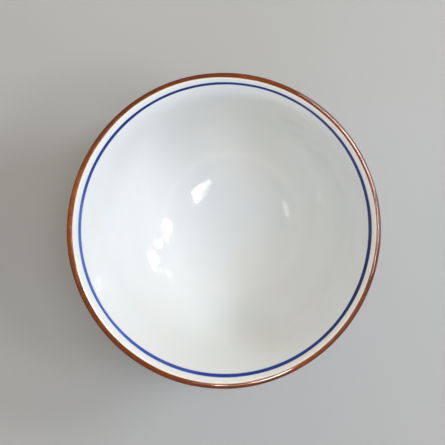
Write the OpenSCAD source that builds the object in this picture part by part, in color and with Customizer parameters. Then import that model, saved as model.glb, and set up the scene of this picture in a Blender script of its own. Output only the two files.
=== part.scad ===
// Handleless teacup: a porcelain bowl on a foot ring, in coats of glaze, with an iron-brown
// band over the lip and a cobalt line round the inside. Millimetres, +Z up.
// The origin is on the cup's axis, level with the edge that it stands on.

/* [Bowl] */
// Diameter over the lip
mouth_d = 88; // [76:1:100]
// Height from the standing edge to the top of the lip
cup_h = 54; // [46:1:66]
// Lean of the wall at the lip, away from upright, in degrees
wall_lean = 19; // [10:1:28]
// How far the floor runs out before it turns up into the wall
floor_run = 46; // [34:1:50]
// How far the wall runs down before it turns in to the floor
wall_run = 31; // [26:1:38]
// Thickness of the porcelain at the lip
lip_t = 1.6; // [1.2:0.1:2.4]
// Thickness of the porcelain in the middle of the floor
floor_t = 3.6; // [2.6:0.1:5]

/* [Foot] */
// Diameter of the foot ring's outside, at the standing edge
foot_d = 40; // [34:1:46]
// Width of the foot ring, at the standing edge
foot_w = 2.6; // [2:0.1:4]
// Height of the bowl's underside above the standing edge, in the middle
recess_h = 5; // [4.6:0.1:7]
// Slant of the foot ring's sides, in degrees
foot_slant = 6; // [0:1:12]
// Bevel on both corners of the standing edge
foot_bevel = 0.5; // [0.2:0.1:0.8]
// Height of the unglazed part of the foot ring
bare_h = 1.2; // [0.9:0.1:2]

/* [Glaze] */
// Thickness of the coats of glaze
glaze_t = 0.2; // [0.15:0.05:0.4]
// How far the brown band runs round the lip, in degrees from its outer side to its inner side
band_angle = 150; // [90:5:160]
// How far the brown band runs down the outside, below the round of the lip
band_out = 1.5; // [0.2:0.1:4]
// Drop from the top of the lip to the middle of the blue line
line_drop = 3.8; // [2.6:0.1:9]
// Height of the blue line
line_h = 1.8; // [0.6:0.1:2.4]

/* [Hidden] */
$fn = 180;

// Steps along the whole wall, and round the lip
wall_steps = 40;
lip_steps = 16;

// The lip is round: its middle, and the ways up the wall and across it to the inside
lip_r = lip_t / 2 + glaze_t;
lip_mid = [mouth_d / 2 - lip_r, cup_h - lip_r];
lip_up = [sin(wall_lean), cos(wall_lean)];
lip_across = [-cos(wall_lean), sin(wall_lean)];

// The bowl's outside is one curve through the wall: level on the axis, leaning at the lip
curve_start = [0, recess_h];
curve_end = lip_mid - lip_across * lip_t / 2;
curve_floor = curve_start + [floor_run, 0];
curve_wall = curve_end - lip_up * wall_run;

// A point of that curve, from 0 on the axis to 1 at the lip, and the way it runs there
function curve(t) = pow(1 - t, 3) * curve_start + 3 * pow(1 - t, 2) * t * curve_floor
    + 3 * (1 - t) * t * t * curve_wall + pow(t, 3) * curve_end;
function curve_way(t) = pow(1 - t, 2) * (curve_floor - curve_start)
    + 2 * (1 - t) * t * (curve_wall - curve_floor) + t * t * (curve_end - curve_wall);

// A point at a depth square to the outside: negative is outside it, wall_t is the inside
function wall_t(t) = floor_t + (lip_t - floor_t) * t;
function at_depth(t, depth) = let (way = curve_way(t)) curve(t) + depth * [-way[1], way[0]] / norm(way);
function outside(t, coat = 0) = at_depth(t, -coat);
function inside(t, coat = 0) = at_depth(t, wall_t(t) + coat);

// The sides of the foot ring, as radii at a height, under a coat
function foot_outer(z, coat = 0) = foot_d / 2 + z * tan(foot_slant) + coat / cos(foot_slant);
function foot_inner(z, coat = 0) = foot_d / 2 - foot_w - z * tan(foot_slant) - coat / cos(foot_slant);

// The place along the curve where a rising quantity passes 0, by halving the stretch
function place(rising, low = 0, high = 1, halvings = 40) = let (mid = (low + high) / 2)
    halvings == 0 ? mid
    : rising(mid) < 0 ? place(rising, mid, high, halvings - 1) : place(rising, low, mid, halvings - 1);

// Places where the bare bowl and its coats meet the sides of the foot ring
foot_in_at = place(function(t) let (p = outside(t)) p[0] - foot_inner(p[1]));
foot_out_at = place(function(t) let (p = outside(t)) p[0] - foot_outer(p[1]));
pool_in_at = place(function(t) let (p = outside(t, glaze_t)) p[0] - foot_inner(p[1], glaze_t));
pool_out_at = place(function(t) let (p = outside(t, glaze_t)) p[0] - foot_outer(p[1], glaze_t));

// Places of the brown band's outer edge and of both edges of the blue line
band_out_at = place(function(t) outside(t, glaze_t)[1] - outside(1, glaze_t)[1] + band_out);
line_low_at = place(function(t) inside(t, glaze_t)[1] - cup_h + line_drop + line_h / 2);
line_high_at = place(function(t) inside(t, glaze_t)[1] - cup_h + line_drop - line_h / 2);

// Every layer bends at the same places, so that neighbours share their faces
function sorted(list) = len(list) < 2 ? list
    : let (first = list[0], rest = [for (i = [1 : len(list) - 1]) list[i]])
    concat(sorted([for (x = rest) if (x < first) x]), first, sorted([for (x = rest) if (x >= first) x]));
function stepped(edges, step) = [for (i = [1 : len(edges) - 1])
    let (low = edges[i - 1], high = edges[i], steps = max(1, ceil((high - low) / step)))
    for (k = [0 : steps - 1]) low + (high - low) * k / steps, edges[len(edges) - 1]];
places = stepped(sorted([0, foot_in_at, foot_out_at, pool_in_at, pool_out_at, band_out_at,
                         line_low_at, line_high_at, 1]), 1 / wall_steps);
turns = stepped([0, band_angle, 180], 180 / lip_steps);
function between(list, low, high) = [for (x = list) if (x >= low && x <= high) x];
function reversed(list) = [for (i = [len(list) - 1 : -1 : 0]) list[i]];

// Runs of points up the outside, up the inside short of the lip, and over the lip to the inside
function up_outside(low, high, coat = 0) = [for (t = between(places, low, high)) outside(t, coat)];
function up_inside(low, high, coat = 0) = [for (t = between(places, low, high)) inside(t, coat)];
function over_lip(low, high, coat = 0) = [for (turn = between(turns, low, high))
    lip_mid + (lip_t / 2 + coat) * (sin(turn) * lip_up - cos(turn) * lip_across)];

// The whole run over the lip is joined to the walls, whose last points it shares
last_place = places[len(places) - 2];

// An outline turned about the cup's axis
module turned(outline) {
    rotate_extrude() polygon(outline);
}

// A stretch of the coat inside the bowl
module inside_coat(low, high) {
    turned(concat(up_inside(low, high), reversed(up_inside(low, high, glaze_t))));
}

module bowl_body() {
    color("ghostwhite")
        turned(concat(up_outside(0, last_place), over_lip(0, 180), reversed(up_inside(0, last_place))));
}

module foot_ring() {
    edge = [[foot_inner(0) + foot_bevel, 0], [foot_outer(0) - foot_bevel, 0],
            [foot_outer(foot_bevel), foot_bevel]];
    seat = reversed(up_outside(foot_in_at, foot_out_at));
    color("antiquewhite")
        turned(concat(edge, seat, [[foot_inner(foot_bevel), foot_bevel]]));
}

module lining_glaze() {
    color("aliceblue") inside_coat(0, line_low_at);
}

module blue_line() {
    color("royalblue") inside_coat(line_low_at, line_high_at);
}

module lip_glaze() {
    under = concat(up_inside(line_high_at, last_place), reversed(over_lip(band_angle, 180)));
    over = concat(over_lip(band_angle, 180, glaze_t), reversed(up_inside(line_high_at, last_place, glaze_t)));
    color("aliceblue") turned(concat(under, over));
}

module rim_band() {
    over = concat(up_outside(band_out_at, last_place, glaze_t), over_lip(0, band_angle, glaze_t));
    under = concat(reversed(over_lip(0, band_angle)), reversed(up_outside(band_out_at, last_place)));
    color("saddlebrown") turned(concat(over, under));
}

module wall_glaze() {
    over = concat([[foot_outer(bare_h, glaze_t), bare_h]], up_outside(pool_out_at, band_out_at, glaze_t));
    under = concat(reversed(up_outside(foot_out_at, band_out_at)), [[foot_outer(bare_h), bare_h]]);
    color("aliceblue") turned(concat(over, under));
}

module foot_glaze() {
    under = concat(up_outside(0, pool_in_at, glaze_t), [[foot_inner(bare_h, glaze_t), bare_h]]);
    over = concat([[foot_inner(bare_h), bare_h]], reversed(up_outside(0, foot_in_at)));
    color("aliceblue") turned(concat(under, over));
}

bowl_body();
foot_ring();
lining_glaze();
blue_line();
lip_glaze();
rim_band();
wall_glaze();
foot_glaze();
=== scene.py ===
# Handleless teacup: a white glazed bowl on a foot ring, with a brown lip and a blue line inside
import math
import bpy
import numpy as np
from mathutils import Matrix, Vector


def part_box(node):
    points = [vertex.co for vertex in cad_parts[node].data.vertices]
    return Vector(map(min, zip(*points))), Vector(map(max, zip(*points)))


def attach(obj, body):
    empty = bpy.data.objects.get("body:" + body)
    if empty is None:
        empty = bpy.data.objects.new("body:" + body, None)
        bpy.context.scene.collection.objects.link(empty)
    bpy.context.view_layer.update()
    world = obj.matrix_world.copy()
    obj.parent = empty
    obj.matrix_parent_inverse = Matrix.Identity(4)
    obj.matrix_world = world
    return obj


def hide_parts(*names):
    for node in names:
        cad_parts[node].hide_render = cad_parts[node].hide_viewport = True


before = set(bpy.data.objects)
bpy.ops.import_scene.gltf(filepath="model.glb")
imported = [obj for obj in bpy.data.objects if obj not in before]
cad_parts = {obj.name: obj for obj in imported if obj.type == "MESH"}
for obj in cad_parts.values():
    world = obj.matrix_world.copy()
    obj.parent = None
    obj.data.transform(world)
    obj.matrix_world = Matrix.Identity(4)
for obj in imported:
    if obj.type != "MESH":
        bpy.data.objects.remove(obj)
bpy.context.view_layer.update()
scene = bpy.context.scene
scene.view_settings.view_transform = "Standard"
mm = 0.001               # shapes are worked out in millimetres, meshes are in metres
fullTurn = 2 * math.pi
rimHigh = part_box("rim_band")[1]
mouthRadius = rimHigh.x / mm
cupHeight = rimHigh.z / mm
print("frame loaded, mouth", round(2 * mouthRadius, 2), "mm, height", round(cupHeight, 2), "mm")

# The camera looks almost straight down, from a little to the right and the far side
cameraSet = {
    "frame": 445,              # pixels along each side
    "rimAt": (222.8, 230.8),   # pixel of the middle of the rim
    "rimRadius": 159.15,       # pixels
    "rimBelow": 1.0,           # mm from the top of the lip down to the rim's outline
    "above": 375.0,            # mm over that outline
    "aside": (22.0, 23.0),     # mm to the right and to the far side
    "clip": (0.01, 50),        # nearest and farthest, in m
}


def makeCamera(given):
    # the rim's size sets the lens, and the aim is off the rim's middle by what the frame shows
    pixels = given["rimRadius"] / mouthRadius
    middle = (given["frame"] - 1) / 2
    rimLevel = cupHeight - given["rimBelow"]
    target = Vector((middle - given["rimAt"][0], given["rimAt"][1] - middle, 0)) / pixels
    target.z = rimLevel
    eye = Vector((*given["aside"], rimLevel + given["above"]))
    back = (eye - target).normalized()
    right = Vector((0, 1, 0)).cross(back).normalized()
    up = back.cross(right)
    data = bpy.data.cameras.new("photoCamera")
    data.lens = data.sensor_width * pixels * given["above"] / given["frame"]
    data.clip_start, data.clip_end = given["clip"]
    camera = bpy.data.objects.new("photoCamera", data)
    camera.matrix_world = Matrix((right, up, back)).transposed().to_4x4()
    camera.location = eye * mm
    scene.collection.objects.link(camera)
    scene.camera = camera


makeCamera(cameraSet)
print("camera placed")

# Section of the cup, in mm and degrees
cupSection = {
    "wallLean": 19.0,      # lean of the wall at the lip, away from upright
    "floorRun": 46.0,      # how far the floor runs before it turns up
    "wallRun": 31.0,       # how far the wall runs down before it turns in
    "lipThick": 1.6,
    "floorThick": 3.6,
    "recessHeight": 5.0,   # underside of the bowl, in the middle
    "footRadius": 20.0,    # at the standing edge
    "footWide": 2.6,
    "footSlant": 6.0,
    "coat": 0.2,           # thickness of the glaze
    "outerFill": 1.3,      # reach of the glaze that fills the corner outside the foot ring
    "innerFill": 1.1,      # and inside it
    "fillAgain": 0.7,      # share of that reach for a second pass, which smooths the first one's ends
    "pathStep": 0.02,      # between the points of a path
}
lineCounts = {"wall": 20001, "lip": 721, "foot": 200}   # points of the lines that the paths follow
lean = math.radians(cupSection["wallLean"])
slant = math.radians(cupSection["footSlant"])
coat = cupSection["coat"]
lipRound = cupSection["lipThick"] / 2
lipMiddle = np.array([mouthRadius - lipRound - coat, cupHeight - lipRound - coat])
lipUp = np.array([math.sin(lean), math.cos(lean)])
lipAcross = np.array([-math.cos(lean), math.sin(lean)])
curveStart = np.array([0.0, cupSection["recessHeight"]])
curveEnd = lipMiddle - lipAcross * lipRound
curveFloor = curveStart + [cupSection["floorRun"], 0]
curveWall = curveEnd - lipUp * cupSection["wallRun"]


def wallPoint(place, inside):
    # cubic curve on four poles from the axis to the lip; the inside lies square to it, by the
    # wall's thickness, which falls evenly from the floor to the lip
    part = np.asarray(place, float)[:, None]
    rest = 1 - part
    point = (rest ** 3 * curveStart + 3 * rest ** 2 * part * curveFloor
             + 3 * rest * part ** 2 * curveWall + part ** 3 * curveEnd)
    way = (rest ** 2 * (curveFloor - curveStart) + 2 * rest * part * (curveWall - curveFloor)
           + part ** 2 * (curveEnd - curveWall))
    way /= np.linalg.norm(way, axis=1, keepdims=True)
    thick = cupSection["floorThick"] + (cupSection["lipThick"] - cupSection["floorThick"]) * part
    return point + inside * thick * np.stack([-way[:, 1], way[:, 0]], 1)


def lipPoint(count):
    # points of a half circle over the lip, from its outer side to its inner side
    turn = np.linspace(0, math.pi, count)[:, None]
    return lipMiddle + lipRound * (np.sin(turn) * lipUp - np.cos(turn) * lipAcross)


def footSide(height, outer):
    # straight slanted sides of the foot ring
    reach = height * math.tan(slant)
    if outer:
        return np.stack([cupSection["footRadius"] + reach, height], 1)
    return np.stack([cupSection["footRadius"] - cupSection["footWide"] - reach, height], 1)


def evenSteps(points, step):
    # the same line at even steps of its own length
    length = np.append(0, np.cumsum(np.linalg.norm(np.diff(points, axis=0), axis=1)))
    at = np.linspace(0, length[-1], int(length[-1] / step) + 1)
    return at, np.stack([np.interp(at, length, points[:, k]) for k in (0, 1)], 1)


def runningMean(points, half):
    # mean of each point and its neighbours, as many on either side
    padded = np.pad(points, ((half, half), (0, 0)), mode="edge")
    total = np.cumsum(np.insert(padded, 0, 0, axis=0), axis=0)
    return (total[2 * half + 1:] - total[:-2 * half - 1]) / (2 * half + 1)


def softEdge(away, soft):
    # rises smoothly from 0 at the edge to 1
    share = np.clip(away / soft, 0, 1)
    return share * share * (3 - 2 * share)


def easeCorner(points, middle, reach, step):
    # running mean of the line over a window, in full within one reach of the corner and blended out
    # by two
    mean = runningMean(points, int(reach / step))
    away = np.abs(np.arange(len(points)) - middle) * step / reach
    return points + (mean - points) * softEdge(2 - away, 1)[:, None]


def glazePath(points, corner, fill):
    # the bare line, the line with its corner filled, and the way square to it, out of the body
    step = cupSection["pathStep"]
    length, bare = evenSteps(points, step)
    nearest = int(np.argmin(np.linalg.norm(bare - corner, axis=1)))
    filled = bare
    for reach in (fill, fill * cupSection["fillAgain"]):
        filled = easeCorner(filled, nearest, reach, step)
    way = np.gradient(filled, axis=0)
    way /= np.linalg.norm(way, axis=1, keepdims=True)
    return {"length": length, "bare": bare, "filled": filled, "corner": length[nearest],
            "out": np.stack([way[:, 1], -way[:, 0]], 1)}


# Where the bare bowl meets the sides of the foot ring
fine = np.linspace(0, 1, lineCounts["wall"])
underBowl = wallPoint(fine, 0)
outerMeet = int(np.argmax(underBowl[:, 0] > footSide(underBowl[:, 1], True)[:, 0]))
innerMeet = int(np.argmax(underBowl[:, 0] > footSide(underBowl[:, 1], False)[:, 0]))
outerCorner, innerCorner = underBowl[outerMeet], underBowl[innerMeet]
outerSide = footSide(np.linspace(0, outerCorner[1], lineCounts["foot"]), True)
innerSide = footSide(np.linspace(innerCorner[1], 0, lineCounts["foot"]), False)

# Up the foot ring and the wall, over the lip and down to the middle of the floor
sideLine = [outerSide, underBowl[outerMeet:-1], lipPoint(lineCounts["lip"]),
            wallPoint(fine[:-1], 1)[::-1]]
sidePath = glazePath(np.concatenate(sideLine), outerCorner, cupSection["outerFill"])
# From the middle of the underside out to the foot ring and down its inner side
recessLine = [underBowl[:innerMeet], innerSide]
recessPath = glazePath(np.concatenate(recessLine), innerCorner, cupSection["innerFill"])
sideTop = sidePath["filled"] + coat * sidePath["out"]
topAt = int(np.argmax(sideTop[:, 1]))
lipStart = int(np.argmin(np.linalg.norm(sidePath["bare"] - curveEnd, axis=1)))
lipStartAt = float(sidePath["length"][lipStart])


def upOutside(height):
    # length along the side path at a height of the coat outside, above the filled corner
    low = int(np.searchsorted(sidePath["length"], sidePath["corner"] + 2 * cupSection["outerFill"]))
    return np.interp(height, sideTop[low:topAt, 1], sidePath["length"][low:topAt])


def downInside(height):
    # length along the side path at a height of the coat inside
    return np.interp(-height, -sideTop[topAt:, 1], sidePath["length"][topAt:])


def turnAngles(columns):
    # even angles once round the axis
    return np.linspace(0, fullTurn, columns, endpoint=False)


def turnFrom(angle, way):
    # turn from a direction in degrees, from half a turn before it to half a turn after it
    return np.mod(angle - math.radians(way) + math.pi, fullTurn) - math.pi


def handWave(angle, seed, lobes):
    # sum of cosines of the angle with seeded strengths and starts, about -1 to 1
    draw = np.random.default_rng(seed)
    lobes = np.asarray(lobes)
    strength = draw.uniform(0.5, 1.0, lobes.size) / np.sqrt(lobes)
    start = draw.uniform(0, fullTurn, lobes.size)
    return np.cos(angle[..., None] * lobes + start) @ strength / np.linalg.norm(strength)


def setWave(angle, waves):
    # sum of cosines of the angle, each with its lobes, its strength and the angle of a peak
    return sum(strength * np.cos(lobes * (angle - math.radians(peak)))
               for lobes, strength, peak in waves)


# What the thrower's and the decorator's hands leave
handSet = {
    "oval": 0.20,              # mm that the mouth is longer and shorter than it is round
    "ovalWay": 67.0,           # degrees from X to its longer way
    "wallWave": 0.05,          # mm in and out, growing towards the lip
    "wallLobes": (3, 4, 5),
    "lipWave": 0.05,           # mm up and down along the lip
    "lipLobes": (2, 3, 5),
    "lipUneven": 0.23,         # mm that the outside of the lip is off the inside
    "lipThinWay": 34.0,        # degrees from X to the side where the lip is thinnest
    "lipWiped": 0.08,          # mm that wiping took off the outer shoulder of the lip
    "wipedFrom": 0.31,         # mm inside the middle of the lip, where the wiping starts
    "wipedOver": 0.50,         # mm from there to its full depth
    "seed": 41,
    "ripple": 0.010,           # mm of waves in the glaze
    "rippleLong": (5, 16),     # mm, shortest and longest wave
    "rippleCount": 28,
    "rippleFade": 3.0,         # mm from the axis, over which the waves begin
    "rippleSeeds": {"inside": 3, "outside": 13, "under": 17},
}


def handMade(x, y, z):
    # the rim is stretched one way and waved a little, more towards the lip; the outside of the lip
    # lies a little off its inside, and its shoulder is eased down over half a millimetre
    angle = np.arctan2(y, x)
    rise = np.clip(z / cupHeight, 0, 1) ** 2
    oval = handSet["oval"] * (np.cos(2 * (angle - math.radians(handSet["ovalWay"]))) - 1)
    wave = handSet["wallWave"] * handWave(angle, handSet["seed"], handSet["wallLobes"])
    grow = (oval + wave) * rise / mouthRadius
    outward = np.hypot(x, y) - lipMiddle[0] + (lipMiddle[1] - z) * math.tan(lean)
    outside = np.clip(0.5 + outward / lipRound / 2, 0, 1)
    thin = np.cos(angle - math.radians(handSet["lipThinWay"])) * outside * rise ** 3
    grow = grow - handSet["lipUneven"] * thin / mouthRadius
    dip = handWave(angle, handSet["seed"] + 1, handSet["lipLobes"]) - 2   # the lip only dips
    wiped = softEdge(outward + handSet["wipedFrom"], handSet["wipedOver"])
    lift = handSet["lipWave"] * dip * rise ** 4 - handSet["lipWiped"] * wiped * rise ** 3
    return x * (1 + grow), y * (1 + grow), z + lift


def glazeRipple(x, y, z, seed):
    # sum of plane waves in seeded directions, about -1 to 1
    draw = np.random.default_rng(seed)
    total = np.zeros_like(x)
    for k in range(handSet["rippleCount"]):
        way = draw.normal(size=3)
        way *= fullTurn / draw.uniform(*handSet["rippleLong"]) / np.linalg.norm(way)
        total += np.cos(way[0] * x + way[1] * y + way[2] * z + draw.uniform(0, fullTurn))
    return total / math.sqrt(handSet["rippleCount"])


sharpFrom = 55.0   # degrees between two faces, from which their edge is sharp


def buildPiece(name, node, material, radius, height, poles, tags):
    # rows of radii and heights, a column for each angle, are carried round the axis; a closed
    # outline joins its last row to its first, and an outline with poles ends in two points
    rows, columns = radius.shape
    angle = turnAngles(columns)
    points = np.stack(handMade(radius * np.cos(angle), radius * np.sin(angle), height), -1) * mm
    index = np.arange(rows * columns).reshape(rows, columns)
    keep = np.ones((rows, columns), bool)
    if poles:
        keep[[0, -1], 1:] = False
        index[[0, -1], 1:] = index[[0, -1], :1]
    newIndex = np.cumsum(keep.ravel()) - 1
    index = newIndex[index]
    if not poles:
        index = np.concatenate([index, index[:1]])
    low, high = index[:-1], index[1:]
    quads = np.stack([low, np.roll(low, -1, 1), np.roll(high, -1, 1), high], -1)
    faces = quads.reshape(-1, 4).tolist()
    if poles:
        faces = quads[1:-1].reshape(-1, 4).tolist()
        faces += quads[0][:, [0, 2, 3]].tolist() + quads[-1][:, [0, 1, 2]].tolist()
    mesh = bpy.data.meshes.new(name)
    mesh.from_pydata(points[keep].tolist(), [], faces)
    for tag, values in tags.items():
        layer = mesh.attributes.new(tag, "FLOAT", "POINT")
        layer.data.foreach_set("value", np.broadcast_to(values, keep.shape)[keep].astype(np.float32))
    mesh.polygons.foreach_set("use_smooth", np.ones(len(mesh.polygons), bool))
    mesh.set_sharp_from_angle(angle=math.radians(sharpFrom))
    mesh.materials.append(material)
    piece = bpy.data.objects.new(name, mesh)
    scene.collection.objects.link(piece)
    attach(piece, "root")
    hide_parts(node)
    print("piece", name, len(mesh.vertices), "points", len(mesh.polygons), "faces")
    return piece


def alongPath(path, length, key):
    # points of a path at the given lengths, on straight lines between its own
    return [np.interp(length, path["length"], path[key][:, k]) for k in (0, 1)]


def coatShell(path, start, end, given, ripples, steps=None, taper=None):
    # lengths, radii and heights of a coat's outline: from one edge to the other on its surface,
    # which lies off the filled path by the coat's thickness and a ripple, and back on the porcelain
    if steps is None:
        steps = np.linspace(0, 1, given["rows"])
    angle = turnAngles(given["columns"])
    length = start + (end - start) * steps[:, None]
    radius, height = alongPath(path, length, "filled")
    outRadius, outHeight = alongPath(path, length, "out")
    seed = handSet["rippleSeeds"][ripples]
    ripple = glazeRipple(radius * np.cos(angle), radius * np.sin(angle), height, seed)
    thick = coat + handSet["ripple"] * ripple * np.minimum(1, radius / handSet["rippleFade"])
    if taper is not None:
        thick = thick * taper(length)
    backLength = end + (start - end) * np.linspace(0, 1, given["backRows"])[:, None]
    backRadius, backHeight = alongPath(path, backLength, "bare")
    return (np.concatenate([length, backLength]),
            np.concatenate([radius + thick * outRadius, backRadius]),
            np.concatenate([height + thick * outHeight, backHeight]))


def feed(tree, socket, value):
    # a socket is linked, a plain value is set
    if isinstance(value, bpy.types.NodeSocket):
        tree.links.new(value, socket)
    else:
        socket.default_value = value


def addNode(tree, kind, inputs, **settings):
    # a shader node with its settings, and with its inputs fed
    node = tree.nodes.new("ShaderNode" + kind)
    for key, value in settings.items():
        setattr(node, key, value)
    for key, value in inputs.items():
        feed(tree, node.inputs[key], value)
    return node


def mixColour(tree, share, first, second):
    return addNode(tree, "Mix", {0: share, 6: first, 7: second}, data_type="RGBA").outputs[2]


def calc(tree, operation, first, second):
    return addNode(tree, "Math", {0: first, 1: second}, operation=operation).outputs[0]


def smoothStep(tree, value, low, high, toLow=0.0, toHigh=1.0):
    # rises smoothly between two values
    ends = {"Value": value, "From Min": low, "From Max": high, "To Min": toLow, "To Max": toHigh}
    return addNode(tree, "MapRange", ends, interpolation_type="SMOOTHSTEP").outputs[0]


def cloud(tree, place, noise):
    # a noise is given as its scale, its detail and its roughness
    scale, detail, rough = noise
    inputs = {"Vector": place, "Scale": scale, "Detail": detail, "Roughness": rough}
    return addNode(tree, "TexNoise", inputs).outputs[0]


def addCloud(tree, value, place, noise, share):
    # the value plus a share of a noise that swings about zero
    swing = calc(tree, "SUBTRACT", cloud(tree, place, noise), 0.5)
    return calc(tree, "ADD", value, calc(tree, "MULTIPLY", swing, share))


def sparseDots(tree, place, scale, edge, chosen, deep):
    # dots in a few of a pattern's cells, from their full depth inside an edge to nothing outside it
    cell = addNode(tree, "TexVoronoi", {"Vector": place, "Scale": scale})
    dot = smoothStep(tree, cell.outputs["Distance"], *edge, deep, 0.0)
    return calc(tree, "MULTIPLY", dot, smoothStep(tree, cell.outputs["Color"], *chosen))


def objectPlace(tree):
    return addNode(tree, "TexCoord", {}).outputs["Object"]


def tagValue(tree, tag):
    return addNode(tree, "Attribute", {}, attribute_name=tag).outputs["Fac"]


def startGroup(name, inputs, outputs):
    # a node group with number inputs, and outputs of the named kinds
    tree = bpy.data.node_groups.new(name, "ShaderNodeTree")
    for label, value in inputs.items():
        socket = tree.interface.new_socket(label, in_out="INPUT", socket_type="NodeSocketFloat")
        socket.default_value = value
    for label, kind in outputs.items():
        tree.interface.new_socket(label, in_out="OUTPUT", socket_type="NodeSocket" + kind)
    return tree, tree.nodes.new("NodeGroupInput").outputs, tree.nodes.new("NodeGroupOutput").inputs


def useGroup(tree, group, inputs):
    node = tree.nodes.new("ShaderNodeGroup")
    node.node_tree = group
    for key, value in inputs.items():
        feed(tree, node.inputs[key], value)
    return node.outputs


# Skin of a fired glaze: slow waves, fine peel, sparse pinholes and an uneven gloss
skinSet = {
    "wave": (140.0, 2.0, 0.5),
    "waveHigh": 2.4,
    "peel": (750.0, 2.0, 0.5),
    "pinScale": 420.0,
    "pinEdge": (0.03, 0.10),     # from the middle of a pinhole to its brim
    "pinChosen": (0.93, 0.95),   # the few cells that have one
    "pinDeep": -0.6,
    "gloss": (90.0, 5.0, 0.65),
    "glossRange": (0.35, 0.75),
    "deep": 0.00002,             # m of bump
    "usual": {"Peel": 0.3, "Matt": 0.06, "Uneven": 0.06},
}


def makeGlazeSkin(given):
    # height is the sum of waves, peel and pinholes, and the roughness rises in blotches
    results = {"Height": "Float", "Roughness": "Float"}
    tree, inside, out = startGroup("glazeSkin", given["usual"], results)
    place = objectPlace(tree)
    wave = calc(tree, "MULTIPLY", cloud(tree, place, given["wave"]), given["waveHigh"])
    peel = calc(tree, "MULTIPLY", cloud(tree, place, given["peel"]), inside["Peel"])
    pins = sparseDots(tree, place, given["pinScale"], given["pinEdge"], given["pinChosen"],
                      given["pinDeep"])
    tree.links.new(calc(tree, "ADD", calc(tree, "ADD", wave, peel), pins), out["Height"])
    blotch = smoothStep(tree, cloud(tree, place, given["gloss"]), *given["glossRange"])
    gloss = calc(tree, "ADD", calc(tree, "MULTIPLY", blotch, inside["Uneven"]), inside["Matt"])
    tree.links.new(gloss, out["Roughness"])
    return tree


# White glaze: cool and warm clouds, a greener pool, a few iron specks, a whiter tone for thin coats and
# painted light, and tints near the brushwork
whiteSet = {
    "cool": (0.800, 0.822, 0.828, 1),
    "warm": (0.815, 0.815, 0.800, 1),
    "pooled": (0.735, 0.790, 0.780, 1),
    "clouds": (34.0, 3.0, 0.5),
    "cloudRange": (0.35, 0.70),
    "speck": (0.30, 0.19, 0.11, 1),
    "speckScale": 95.0,
    "speckEdge": (0.010, 0.024),
    "speckChosen": (0.92, 0.94),
    "speckStrong": 0.55,
    # whiter tone for thin coats, used also as painted light
    "whiteThinAndLit": (0.900, 0.900, 0.890, 1),
    "cream": (0.86, 0.73, 0.56, 1),
    "blueHaze": (0.42, 0.52, 0.80, 1),
    "patches": (320.0, 3.0, 0.5),
    "patchRange": (0.25, 0.75),
    "patchShare": (0.55, 1.0),
    "finish": {"Peel": 0.25, "Matt": 0.05, "Uneven": 0.06},
}


def makeWhiteTone(given):
    # cool to warm in clouds, then towards the pooled tone, then the specks
    tree, inside, out = startGroup("whiteTone", {"Pool": 0.0}, {"Color": "Color"})
    place = objectPlace(tree)
    warmth = smoothStep(tree, cloud(tree, place, given["clouds"]), *given["cloudRange"])
    tone = mixColour(tree, warmth, given["cool"], given["warm"])
    tone = mixColour(tree, inside["Pool"], tone, given["pooled"])
    specks = sparseDots(tree, place, given["speckScale"], given["speckEdge"], given["speckChosen"],
                        given["speckStrong"])
    tree.links.new(mixColour(tree, specks, tone, given["speck"]), out["Color"])
    return tree


glazeSkin = makeGlazeSkin(skinSet)
whiteTone = makeWhiteTone(whiteSet)
porcelainIor = 1.5


def startMaterial(name, ior):
    material = bpy.data.materials.new(name)
    material.use_nodes = True
    tree = material.node_tree
    shader = tree.nodes["Principled BSDF"]
    shader.inputs["IOR"].default_value = ior
    return material, tree, shader


def addBump(tree, shader, height, deep):
    bump = addNode(tree, "Bump", {"Height": height, "Strength": 1.0, "Distance": deep})
    tree.links.new(bump.outputs[0], shader.inputs["Normal"])


def glazeFinish(tree, shader, finish):
    # gloss and bump from the shared skin
    skin = useGroup(tree, glazeSkin, finish)
    tree.links.new(skin["Roughness"], shader.inputs["Roughness"])
    addBump(tree, shader, skin["Height"], skinSet["deep"])


def stainColour(tree, load, given):
    # thin to mid to thick as the brush's load rises
    stain = mixColour(tree, smoothStep(tree, load, *given["toMid"]), given["thin"], given["mid"])
    return mixColour(tree, smoothStep(tree, load, *given["toThick"]), stain, given["thick"])


def makeWhiteGlaze(given):
    # white tone, whiter where the coat is thin over the lip and where light is painted on the lip strip
    # and the floor ring, with a cream bleed beside the brown band and a blue haze beside the line, both
    # in patches
    material, tree, shader = startMaterial("whiteGlaze", porcelainIor)
    tone = useGroup(tree, whiteTone, {"Pool": tagValue(tree, "pool")})["Color"]
    # the thin tag carries painted light as well as thinner coats
    tone = mixColour(tree, tagValue(tree, "thin"), tone, given["whiteThinAndLit"])
    patches = cloud(tree, objectPlace(tree), given["patches"])
    patchy = smoothStep(tree, patches, *given["patchRange"], *given["patchShare"])
    for tag, tint in (("nearBand", "cream"), ("nearLine", "blueHaze")):
        tone = mixColour(tree, calc(tree, "MULTIPLY", tagValue(tree, tag), patchy), tone, given[tint])
    tree.links.new(tone, shader.inputs["Base Color"])
    glazeFinish(tree, shader, given["finish"])
    return material


# Cobalt stain, from where the brush ran thin to where it lay thick
cobaltSet = {
    "thin": (0.10, 0.19, 0.56, 1),
    "mid": (0.014, 0.050, 0.31, 1),
    "thick": (0.006, 0.016, 0.13, 1),
    "toMid": (0.0, 0.55),
    "toThick": (0.45, 1.0),
    "grain": (1400.0, 3.0, 0.6),
    "grainShare": 0.35,
    "specular": 0.03,
    "finish": {"Peel": 0.25, "Matt": 0.05, "Uneven": 0.06},
}


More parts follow.
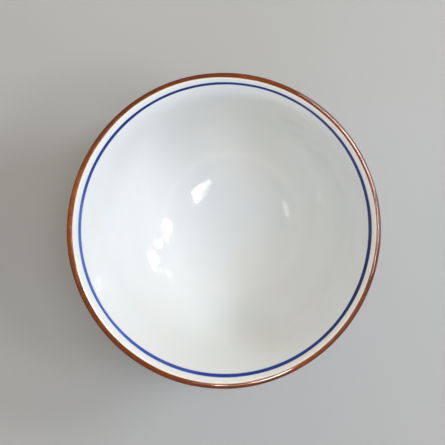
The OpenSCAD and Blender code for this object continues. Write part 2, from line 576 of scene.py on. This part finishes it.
def makeCobalt(given):
    # the stain over the white tone, grainy with its load
    material, tree, shader = startMaterial("cobaltGlaze", porcelainIor)
    load = addCloud(tree, tagValue(tree, "load"), objectPlace(tree), given["grain"], given["grainShare"])
    stain = stainColour(tree, load, given)
    white = useGroup(tree, whiteTone, {"Pool": 0.0})["Color"]
    tree.links.new(mixColour(tree, tagValue(tree, "ink"), white, stain), shader.inputs["Base Color"])
    shader.inputs["Specular IOR Level"].default_value = given["specular"]
    glazeFinish(tree, shader, given["finish"])
    return material


# Iron brown, orange where it is thin and nearly black where it is thick
ironSet = {
    "thin": (0.36, 0.090, 0.010, 1),
    "mid": (0.165, 0.031, 0.002, 1),
    "thick": (0.050, 0.008, 0.001, 1),
    "toMid": (0.0, 0.5),
    "toThick": (0.45, 1.0),
    "blotch": (260.0, 4.0, 0.6),
    "blotchShare": 0.55,
    "grain": (1800.0, 2.0, 0.5),
    "grainShare": 0.3,
    "creamShare": 0.7,   # of the white that it fades into
    "specular": 0.33,
    "finish": {"Peel": 0.35, "Matt": 0.06, "Uneven": 0.08},
}


def makeIron(given):
    # the brown over a creamy white, blotched and grainy with its load
    material, tree, shader = startMaterial("ironGlaze", porcelainIor)
    place = objectPlace(tree)
    load = addCloud(tree, tagValue(tree, "load"), place, given["blotch"], given["blotchShare"])
    load = addCloud(tree, load, place, given["grain"], given["grainShare"])
    brown = stainColour(tree, load, given)
    white = useGroup(tree, whiteTone, {"Pool": 0.0})["Color"]
    white = mixColour(tree, given["creamShare"], white, whiteSet["cream"])
    tree.links.new(mixColour(tree, tagValue(tree, "ink"), white, brown), shader.inputs["Base Color"])
    shader.inputs["Specular IOR Level"].default_value = given["specular"]
    glazeFinish(tree, shader, given["finish"])
    return material


# Bare porcelain: matt and gritty, with a tan flash where the glaze ends and grey rubs below
bareSet = {
    "clay": (0.70, 0.655, 0.585, 1),
    "pale": (0.76, 0.73, 0.68, 1),
    "paleClouds": (120.0, 4.0, 0.5),
    "paleRange": (0.3, 0.7),
    "flash": (0.56, 0.36, 0.21, 1),
    "flashClouds": (300.0, 4.0, 0.6),
    "flashRange": (0.3, 0.65),
    "flashShare": (0.35, 1.0),
    "rub": (0.40, 0.37, 0.33, 1),
    "rubClouds": (700.0, 5.0, 0.7),
    "rubRange": (0.50, 0.68),
    "grit": (2600.0, 3.0, 0.65),
    "gritRange": (0.2, 0.8),
    "gritRough": (0.55, 0.85),
    "gritDeep": 0.00006,   # m of bump
}


def makeBare(given):
    # clay to pale in clouds, then the flash and the rubs in patches, with grit in gloss and bump
    material, tree, shader = startMaterial("barePorcelain", porcelainIor)
    place = objectPlace(tree)
    paler = smoothStep(tree, cloud(tree, place, given["paleClouds"]), *given["paleRange"])
    clay = mixColour(tree, paler, given["clay"], given["pale"])
    blotch = cloud(tree, place, given["flashClouds"])
    blotch = smoothStep(tree, blotch, *given["flashRange"], *given["flashShare"])
    clay = mixColour(tree, calc(tree, "MULTIPLY", tagValue(tree, "flash"), blotch), clay, given["flash"])
    scuff = smoothStep(tree, cloud(tree, place, given["rubClouds"]), *given["rubRange"])
    clay = mixColour(tree, calc(tree, "MULTIPLY", tagValue(tree, "rub"), scuff), clay, given["rub"])
    tree.links.new(clay, shader.inputs["Base Color"])
    grit = cloud(tree, place, given["grit"])
    rough = smoothStep(tree, grit, *given["gritRange"], *given["gritRough"])
    tree.links.new(rough, shader.inputs["Roughness"])
    addBump(tree, shader, grit, given["gritDeep"])
    return material


whiteGlaze = makeWhiteGlaze(whiteSet)
cobaltGlaze = makeCobalt(cobaltSet)
ironGlaze = makeIron(ironSet)
barePorcelain = makeBare(bareSet)
print("materials made")

# Bowl under the coats
bodySet = {"columns": 256, "every": 400, "lipRows": 25}   # every so many points of the fine wall


def makeBowlBody(given):
    # the porcelain under the coats, from the middle of the underside to the middle of the floor
    every = given["every"]
    outline = np.concatenate([underBowl[::every][:-1], lipPoint(given["lipRows"]),
                              wallPoint(fine[::every], 1)[::-1][1:]])
    outline[[0, -1], 0] = 0
    radius, height = (outline[:, k:k + 1] * np.ones(given["columns"]) for k in (0, 1))
    buildPiece("bowl_body_clay", "bowl_body", barePorcelain, radius, height, True,
               {"flash": 0.0, "rub": 0.0})


# Foot ring, and the edges of the glaze on it
footSet = {
    "columns": 384,
    "sideRows": 60,
    "step": 0.09,           # mm between the points of its sides
    "seatEvery": 60,        # every so many points of the fine wall
    "bevel": 0.5,           # mm, on both sides of the standing edge
    "ease": 0.35,           # mm of rounding on the bevels
    "easeBelow": 3.0,       # mm, no rounding above
    "easeFade": 1.5,        # mm over which it comes in
    "bare": 1.2,            # mm of the foot ring without glaze
    "waver": 0.10,          # mm
    "waverLobes": (2, 3, 5, 9, 14, 21),
    "seed": 19,
    "roll": 0.30,           # mm of the rolled edge of the glaze
    "rollLeast": 0.02,      # share of the roll at its very end
    "bead": 0.35,           # share that the coat is thicker behind the roll
    "beadAt": 0.56,         # mm from its end
    "beadWide": 0.42,       # mm
    "flash": 0.75,
    "flashWide": 0.35,      # mm
    "rub": 0.6,
    "rubHigh": 0.5,         # mm over the standing edge
}


def bareHeight(columns, seed):
    # height of the unglazed foot, wavering round the ring
    return footSet["bare"] + footSet["waver"] * handWave(turnAngles(columns), seed, footSet["waverLobes"])


def bareEdges(columns, path):
    # length along a path at which the glaze on the foot ring ends, for each angle
    under = path is recessPath
    along = bareHeight(columns, footSet["seed"] + under) / math.cos(slant)
    return path["length"][-1] - along if under else along


def rolledEdge(away):
    # quarter round at the end of a coat, with a slight bead behind it
    share = np.clip(away / footSet["roll"], footSet["rollLeast"], 1)
    bead = footSet["bead"] * np.exp(-((away - footSet["beadAt"]) / footSet["beadWide"]) ** 2)
    return np.sqrt(1 - (1 - share) ** 2) * (1 + bead)


def makeFootRing(given):
    # slanted sides, a standing edge with eased corners, and a seat that fits the bowl
    bevel, step, rows = given["bevel"], given["step"], given["sideRows"]
    downInner = footSide(np.linspace(innerCorner[1], bevel, rows), False)[1:]
    standing = [innerSide[-1] + [bevel, 0], outerSide[0] - [bevel, 0]]
    upOuter = footSide(np.linspace(bevel, outerCorner[1], rows), True)
    sides = evenSteps(np.concatenate([downInner, standing, upOuter]), step)[1]
    eased = runningMean(sides, int(given["ease"] / step))
    share = softEdge(given["easeBelow"] - sides[:, 1:], given["easeFade"])
    seat = underBowl[innerMeet:outerMeet][::-given["seatEvery"]]
    outline = np.concatenate([sides + (eased - sides) * share, seat])
    radius, height = (outline[:, k:k + 1] * np.ones(given["columns"]) for k in (0, 1))
    fromGlaze = bareHeight(given["columns"], given["seed"]) - height
    flash = given["flash"] * np.exp(-(fromGlaze / given["flashWide"]) ** 2)
    rub = given["rub"] * softEdge(given["rubHigh"] - height, given["rubHigh"])
    buildPiece("foot_ring_clay", "foot_ring", barePorcelain, radius, height, False,
               {"flash": flash, "rub": rub})


# Blue line, brushed round the inside below the lip
lineSet = {
    "columns": 768,
    "rows": 19,
    "backRows": 4,
    "drop": 3.77,           # mm from the top of the lip to the middle of the line
    "tall": 2.2,            # mm with its soft edges
    "soft": 0.23,           # mm over which the stain fades
    # lobes, strength and peak of the waves of its height in mm, and of its width as a share
    "strays": ((1, 0.21, 72), (2, 0.10, -68), (3, 0.12, -46), (4, 0.08, -38)),
    "swells": ((1, 0.13, -18), (2, 0.07, -18), (3, 0.06, 15), (4, 0.04, -3)),
    "brush": 0.03,          # share that its width wavers
    "brushLobes": (7, 11, 16, 23),
    "brushSeed": 7,
    "load": 0.80,           # of stain, where the brush was full
    "lighter": 0.72,        # less of it where the brush ran dry
    "lightWay": 190.0,      # degrees from X to there
    "lightWide": (1.55, 0.55),   # radians past it and before it
    "patchy": 0.08,
    "patchLobes": (3, 5, 8, 13, 21, 34),
    "patchSeed": 23,
    "fuller": 0.12,         # more along its middle, and less at its edges
    "haze": 0.34,           # share of blue that bleeds into the white
    "hazeWide": 0.34,       # mm
}


def lineEdges(columns):
    # lengths along the side path at the line's upper and lower edge, for each angle
    angle = turnAngles(columns)
    middle = cupHeight - lineSet["drop"] + setWave(angle, lineSet["strays"])
    brush = lineSet["brush"] * handWave(angle, lineSet["brushSeed"], lineSet["brushLobes"])
    half = lineSet["tall"] / 2 * (1 + setWave(angle, lineSet["swells"]) + brush)
    return downInside(middle + half), downInside(middle - half)


def lineHaze(away):
    # blue in the white beside the line, which falls off with the distance
    return lineSet["haze"] * np.exp(-away / lineSet["hazeWide"])


def makeBlueLine(given):
    # one brushed ring that fades at its edges, lighter round one side where the brush ran dry
    angle = turnAngles(given["columns"])
    start, end = lineEdges(given["columns"])
    length, radius, height = coatShell(sidePath, start, end, given, "inside")
    ink = softEdge(np.minimum(length - start, end - length), given["soft"])
    away = turnFrom(angle, given["lightWay"])
    lighter = np.exp(-(away / np.where(away > 0, *given["lightWide"])) ** 2)
    patchy = given["patchy"] * handWave(angle, given["patchSeed"], given["patchLobes"])
    across = (length - start) / (end - start)
    load = given["load"] - given["lighter"] * lighter + patchy
    load = load - given["fuller"] * np.cos(fullTurn * across)
    buildPiece("blue_line_ring", "blue_line", cobaltGlaze, radius, height, False,
               {"ink": ink, "load": load})


# What the white coats have where nothing else is said
plainWhite = {"pool": 0.0, "thin": 0.0, "nearBand": 0.0, "nearLine": 0.0}

# White coat inside, below the blue line
liningSet = {
    "columns": 384,
    "rows": 150,
    "backRows": 36,
    "pool": 0.22,           # where the glaze gathers at the turn of the wall
    "poolAt": 29.0,         # mm from the axis
    "poolWide": 6.0,        # mm
    "poolWaver": 0.3,
    "poolLobes": (1, 2, 3),
    "poolSeed": 5,
    "ringAt": 21.2,         # mm from the axis, over the foot
    "ringWide": 1.5,        # mm
    "ringHigh": 0.03,       # mm
    "ringThinAndLit": 0.22,       # how much whiter it is: thinner glaze, and painted light strongest on one side
    "ringSwells": ((1, 0.6, 75),),   # lobes, strength and peak, of its height and of its painted light
}


def makeLining(given):
    # from the blue line down the inside to the middle of the floor, with a faint ring over the foot,
    # where the glaze lies thinner and is painted lighter, most towards one side; the outline starts and
    # ends on the axis
    columns, backRows = given["columns"], given["backRows"]
    angle = turnAngles(columns)
    start, end = lineEdges(columns)[1], np.full(columns, sidePath["length"][-1])
    shell = coatShell(sidePath, start, end, given, "inside")
    length, radius, height = (np.roll(values, backRows, axis=0) for values in shell)
    radius[[0, -1]] = 0
    height[-1] = height[-1].mean()
    gathered = np.exp(-((radius - given["poolAt"]) / given["poolWide"]) ** 2)
    waver = 1 + given["poolWaver"] * handWave(angle, given["poolSeed"], given["poolLobes"])
    ring = np.exp(-((radius - given["ringAt"]) / given["ringWide"]) ** 2)
    ring = ring * (1 + setWave(angle, given["ringSwells"]))
    height[backRows:] += given["ringHigh"] * ring[backRows:]
    buildPiece("lining_glaze_coat", "lining_glaze", whiteGlaze, radius, height, True,
               # the thin tag here is partly the thinner glaze on the ring and partly painted light on it
               {**plainWhite, "pool": given["pool"] * gathered * waver, "thin": given["ringThinAndLit"] * ring,
                "nearLine": lineHaze(length - start)})


# Brown band over the lip
bandSet = {
    "columns": 768,
    "rows": 44,
    "backRows": 14,
    "turn": 143.0,          # degrees that the brown runs round the lip
    # lobes, strength and peak of the waves of its inner edge, in degrees round the lip
    "strays": ((1, 1.5, -106), (2, 4.2, 36), (3, 3.3, 55)),
    "turnWaver": 2.5,       # degrees
    "turnLobes": (4, 7, 12),
    "turnSeed": 12,
    "down": 1.5,            # mm that it runs down the outside
    "downWaver": 0.14,      # mm
    "downLobes": (2, 3, 5, 9, 14, 23),
    "downSeed": 11,
    "soft": 0.20,           # mm over which it fades
    "load": 0.86,           # of iron, where it gathers
    "crest": 0.36,          # less of it on the crest
    "crestAt": 105.0,       # degrees round the lip
    "crestWide": (0.5, 1.0),   # radians past it, towards the inside, and before it
    "lighter": 0.18,        # less round one side
    "lightWay": 162.8,      # degrees from X to there
    "lightWide": 0.8,       # radians
    "patchy": 0.10,
    "patchLobes": (2, 3, 5, 8, 13, 21, 34),
    "patchSeed": 29,
}


def bandEdges(columns):
    # lengths along the side path at the band's outer and inner edge, for each angle
    angle = turnAngles(columns)
    waver = bandSet["downWaver"] * handWave(angle, bandSet["downSeed"], bandSet["downLobes"])
    lipSide = np.interp(lipStartAt, sidePath["length"], sideTop[:, 1])
    turn = bandSet["turn"] + setWave(angle, bandSet["strays"])
    turn = turn + bandSet["turnWaver"] * handWave(angle, bandSet["turnSeed"], bandSet["turnLobes"])
    return upOutside(lipSide - bandSet["down"] - waver), lipStartAt + np.radians(turn) * lipRound


def makeRimBand(given):
    # brown over the lip, thin on its crest and outer shoulder and thick towards both edges
    angle = turnAngles(given["columns"])
    start, end = bandEdges(given["columns"])
    length, radius, height = coatShell(sidePath, start, end, given, "inside")
    ink = softEdge(np.minimum(length - start, end - length), given["soft"])
    pastCrest = (length - lipStartAt) / lipRound - math.radians(given["crestAt"])
    crest = np.exp(-(pastCrest / np.where(pastCrest > 0, *given["crestWide"])) ** 2)
    lighter = np.exp(-(turnFrom(angle, given["lightWay"]) / given["lightWide"]) ** 2)
    patchy = given["patchy"] * handWave(angle, given["patchSeed"], given["patchLobes"])
    load = given["load"] - given["crest"] * crest - given["lighter"] * lighter + patchy
    return buildPiece("rim_band_coat", "rim_band", ironGlaze, radius, height, False,
                      {"ink": ink, "load": load})


# White strip over the inner shoulder of the lip
lipSet = {
    "columns": 768,
    "rows": 26,
    "backRows": 10,
    "paintedLightWay": -45.0,       # degrees from X to the side painted lightest, as painted light on the strip
    "thin": 0.35,           # whiter coat, halfway round from there
    "paintedLightSwing": 0.5,       # painted light: more whiteness there, and less on the other side
    "pool": 0.5,            # painted shade in the pooled tone, on the other side
    "bleed": 0.30,          # mm of cream beside the brown band
}


def makeLipGlaze(given):
    # between the brown and the blue; painted lighter on one side and painted shade in the pooled tone on
    # the other, by a cosine of the angle
    start, end = bandEdges(given["columns"])[1], lineEdges(given["columns"])[0]
    length, radius, height = coatShell(sidePath, start, end, given, "inside")
    facing = np.cos(turnAngles(given["columns"]) - math.radians(given["paintedLightWay"]))
    # thin and pool here are painted light and painted shade round the strip
    thin = np.clip(given["thin"] + given["paintedLightSwing"] * facing, 0, 1)
    pool = given["pool"] * (0.5 - 0.5 * facing) ** 2
    buildPiece("lip_glaze_coat", "lip_glaze", whiteGlaze, radius, height, False,
               {"pool": pool, "thin": thin, "nearBand": np.exp(-(length - start) / given["bleed"]),
                "nearLine": lineHaze(end - length)})


# White coat outside
wallSet = {
    "columns": 384,
    "rows": 150,
    "backRows": 40,
    "crowd": 1.6,           # power that crowds the rows towards the rolled edge
    "pool": 0.8,            # in the corner at the foot ring
    "poolWide": 1.4,        # mm
    "bleed": 0.6,           # share of cream beside the brown band
    "bleedWide": 0.2,       # mm
    "rings": 0.008,         # mm of turning marks
    "ringWaves": (1.1, 1.7, 2.3),   # radians for each mm of height
    "ringSeed": 31,
    "ringFrom": 2.0,        # mm over the corner at the foot ring
    "ringFade": (4.0, 3.0),   # mm over which they come in there, and go out below the band
}


def makeWallGlaze(given):
    # from the rolled edge on the foot ring, over the filled corner, up to the brown band; turning
    # marks are waves of the height
    columns, rows = given["columns"], given["rows"]
    start, end = bareEdges(columns, sidePath), bandEdges(columns)[0]
    steps = np.linspace(0, 1, rows) ** given["crowd"]
    length, radius, height = coatShell(sidePath, start, end, given, "outside", steps,
                                       lambda at: rolledEdge(at - start))
    pastCorner = length - sidePath["corner"]
    marks = given["rings"] * handWave(height[:rows], given["ringSeed"], given["ringWaves"])
    marks = marks * softEdge(pastCorner[:rows] - given["ringFrom"], given["ringFade"][0])
    radius[:rows] += marks * softEdge(end - length[:rows], given["ringFade"][1])
    pool = given["pool"] * np.exp(-(pastCorner / given["poolWide"]) ** 2)
    bleed = given["bleed"] * np.exp(-(end - length) / given["bleedWide"])
    buildPiece("wall_glaze_coat", "wall_glaze", whiteGlaze, radius, height, False,
               {**plainWhite, "pool": pool, "nearBand": bleed})


# White coat in the recess
recessSet = {
    "columns": 320,
    "rows": 90,
    "backRows": 36,
    "crowd": 1.6,           # power that crowds the rows towards the rolled edge
    "pool": 0.8,            # in the corner at the foot ring
    "poolWide": 1.2,        # mm
}


def makeFootGlaze(given):
    # the recess under the cup, down to the rolled edge on the foot ring's inner side
    columns = given["columns"]
    start, end = np.zeros(columns), bareEdges(columns, recessPath)
    steps = 1 - np.linspace(1, 0, given["rows"]) ** given["crowd"]
    length, radius, height = coatShell(recessPath, start, end, given, "under", steps,
                                       lambda at: rolledEdge(end - at))
    radius[[0, -1]] = 0
    height[0] = height[0].mean()
    pool = given["pool"] * np.exp(-((length - recessPath["corner"]) / given["poolWide"]) ** 2)
    buildPiece("foot_glaze_coat", "foot_glaze", whiteGlaze, radius, height, True,
               {**plainWhite, "pool": pool})


makeBowlBody(bodySet)
makeFootRing(footSet)
makeLining(liningSet)
makeBlueLine(lineSet)
makeLipGlaze(lipSet)
rimBandPiece = makeRimBand(bandSet)
makeWallGlaze(wallSet)
makeFootGlaze(recessSet)
print("cup built")


def newLamp(name, size, radiance):
    # an area lamp of a size in mm, with the power that gives its radiance
    data = bpy.data.lights.new(name, "AREA")
    data.shape = "RECTANGLE"
    data.size, data.size_y = size[0] * mm, size[1] * mm
    data.energy = radiance * math.pi * data.size * data.size_y
    lamp = bpy.data.objects.new(name, data)
    lamp.visible_camera = False
    scene.collection.objects.link(lamp)
    return lamp


# Small gridded lamps close to the lip, which draw the thin glints on the brown band and light
# nothing else: degrees round the rim, tilt of the lip there, size along and across it in mm, radiance
glintSet = {
    "glintNear": (-71.5, -0.8, (15, 12), 15.0),
    "glintNearSoft": (-86, -1.0, (12, 12), 0.7),
    "glintNearEnd": (-92, -1.5, (4, 12), 12.0),
    "glintRight": (-1, 11.0, (62, 6), 16.0),
    "glintUpper": (38, 29.0, (105, 5), 18.0),
}
glintReach = {"away": 120.0, "beam": 40.0}   # mm from the lip, and degrees


def makeGlint(name, around, tilt, size, radiance, reach, onlyOn):
    # the camera's ray is mirrored at the lip, and the lamp stands on the mirrored ray
    around, tilt = math.radians(around), math.radians(tilt)
    outward = Vector((math.cos(around), math.sin(around), 0))
    along = Vector((-math.sin(around), math.cos(around), 0))
    face = outward * math.sin(tilt) + Vector((0, 0, math.cos(tilt)))
    spot = Vector((0, 0, lipMiddle[1])) + outward * lipMiddle[0] + face * (lipRound + coat)
    ray = (scene.camera.location / mm - spot).normalized()
    way = 2 * face.dot(ray) * face - ray
    across = way.cross(along).normalized()
    lamp = newLamp(name, size, radiance)
    lamp.data.spread = math.radians(reach["beam"])
    lamp.matrix_world = Matrix((across.cross(way), across, way)).transposed().to_4x4()
    lamp.location = (spot + way * reach["away"]) * mm
    lamp.visible_diffuse = False
    lamp.light_linking.receiver_collection = onlyOn


# Soft studio light: softboxes that light the cup, and strips, window panes and spots that only show
# in its glaze; azimuth and elevation in degrees, size in mm, radiance, colour and use
lampSet = {
    "softboxLeft": (178, 36, (420, 420), 0.32, (1.80, 0.82, 0.15), "light"),
    "softboxFar": (90, 35, (420, 420), 0.76, (1.34, 1.00, 0.12), "light"),
    "softboxNear": (-90, 8, (500, 120), 9.6, (0.93, 1.00, 1.26), "light"),
    "softboxRight": (20, 40, (180, 180), 24.4, (0.98, 1.00, 1.04), "light"),
    "softboxHigh": (0, 52, (180, 180), 14.8, (0.94, 1.00, 1.20), "light"),
    "softboxTop": (30, 76, (180, 180), 11.2, (1.02, 1.00, 0.97), "light"),
    "softboxLow": (-20, 28, (180, 180), 4.4, (0.70, 1.06, 1.30), "light"),
    "stripWide": (28, 19, (1100, 260), 9.0, (1.00, 1.00, 1.00), "show"),
    "stripRight": (26, 19, (420, 260), 15.0, (1.00, 1.00, 1.00), "show"),
    "paneHighTall": (-8, 70, (48, 112), 22.0, (0.95, 1.00, 1.10), "show"),
    "paneHighWide": (0, 68, (112, 30), 22.0, (0.95, 1.00, 1.10), "show"),
    "paneUpper": (12, 58, (44, 155), 22.0, (0.95, 1.00, 1.10), "show"),
    "paneMiddle": (22, 44, (78, 180), 22.0, (0.95, 1.00, 1.10), "show"),
    "paneLower": (25, 35, (150, 90), 22.0, (0.95, 1.00, 1.10), "show"),
    "paneSide": (33, 43, (44, 100), 3.5, (1.00, 1.00, 0.92), "show"),
    "paneSideHigh": (39, 52, (88, 95), 3.5, (1.00, 1.00, 0.92), "show"),
    "spotAbove": (-65, 79, (44, 66), 30.0, (1.00, 1.00, 1.00), "show"),
    "spotBeside": (-79, 77, (18, 36), 12.0, (1.00, 1.00, 1.00), "show"),
    "spotFar": (-160, 70, (65, 45), 4.0, (1.00, 1.00, 1.00), "show"),
}
lampsAway = 900   # mm from the middle of the bowl


def makeLamp(name, azimuth, elevation, size, radiance, colour, use):
    # an area lamp on a sphere round the cup, aimed at the middle of the bowl
    azimuth, elevation = math.radians(azimuth), math.radians(elevation)
    way = Vector((math.cos(azimuth) * math.cos(elevation), math.sin(azimuth) * math.cos(elevation),
                  math.sin(elevation)))
    lamp = newLamp(name, size, radiance)
    lamp.data.color = colour
    lamp.location = (way * lampsAway + Vector((0, 0, cupHeight / 2))) * mm
    lamp.rotation_euler = way.to_track_quat("Z", "Y").to_euler()
    lamp.visible_glossy = use != "light"
    lamp.visible_diffuse = use != "show"


# Pale floor and pale room
roomSet = {
    "fill": (1.01, 1.00, 0.95, 1),
    "fillStrength": 0.50,
    "floor": (0.45, 0.45, 0.445, 1),
    "floorShade": (0.42, 0.42, 0.415, 1),
    "floorClouds": (3.0, 3.0, 0.5),
    "floorRange": (0.3, 0.7),
    "floorRough": 0.85,
    "floorIor": 1.45,
    "floorHalf": 6,   # m from its middle to its sides
}


def makeRoom(given):
    # pale floor with a faint cloud, and an even pale room that fills the shadows
    half = given["floorHalf"]
    mesh = bpy.data.meshes.new("paleFloor")
    corners = [(-half, -half, 0), (half, -half, 0), (half, half, 0), (-half, half, 0)]
    mesh.from_pydata(corners, [], [(0, 1, 2, 3)])
    material, tree, shader = startMaterial("paleFloor", given["floorIor"])
    shade = smoothStep(tree, cloud(tree, objectPlace(tree), given["floorClouds"]), *given["floorRange"])
    tone = mixColour(tree, shade, given["floor"], given["floorShade"])
    tree.links.new(tone, shader.inputs["Base Color"])
    shader.inputs["Roughness"].default_value = given["floorRough"]
    mesh.materials.append(material)
    floor = bpy.data.objects.new("paleFloor", mesh)
    scene.collection.objects.link(floor)
    world = bpy.data.worlds.new("paleRoom")
    world.use_nodes = True
    fill = world.node_tree.nodes["Background"].inputs
    fill["Color"].default_value = given["fill"]
    fill["Strength"].default_value = given["fillStrength"]
    scene.world = world


rimOnly = bpy.data.collections.new("rimOnly")
rimOnly.objects.link(rimBandPiece)
for lampName, lampGiven in glintSet.items():
    makeGlint(lampName, *lampGiven, glintReach, rimOnly)
for lampName, lampGiven in lampSet.items():
    makeLamp(lampName, *lampGiven)
makeRoom(roomSet)
print("lights and floor placed")
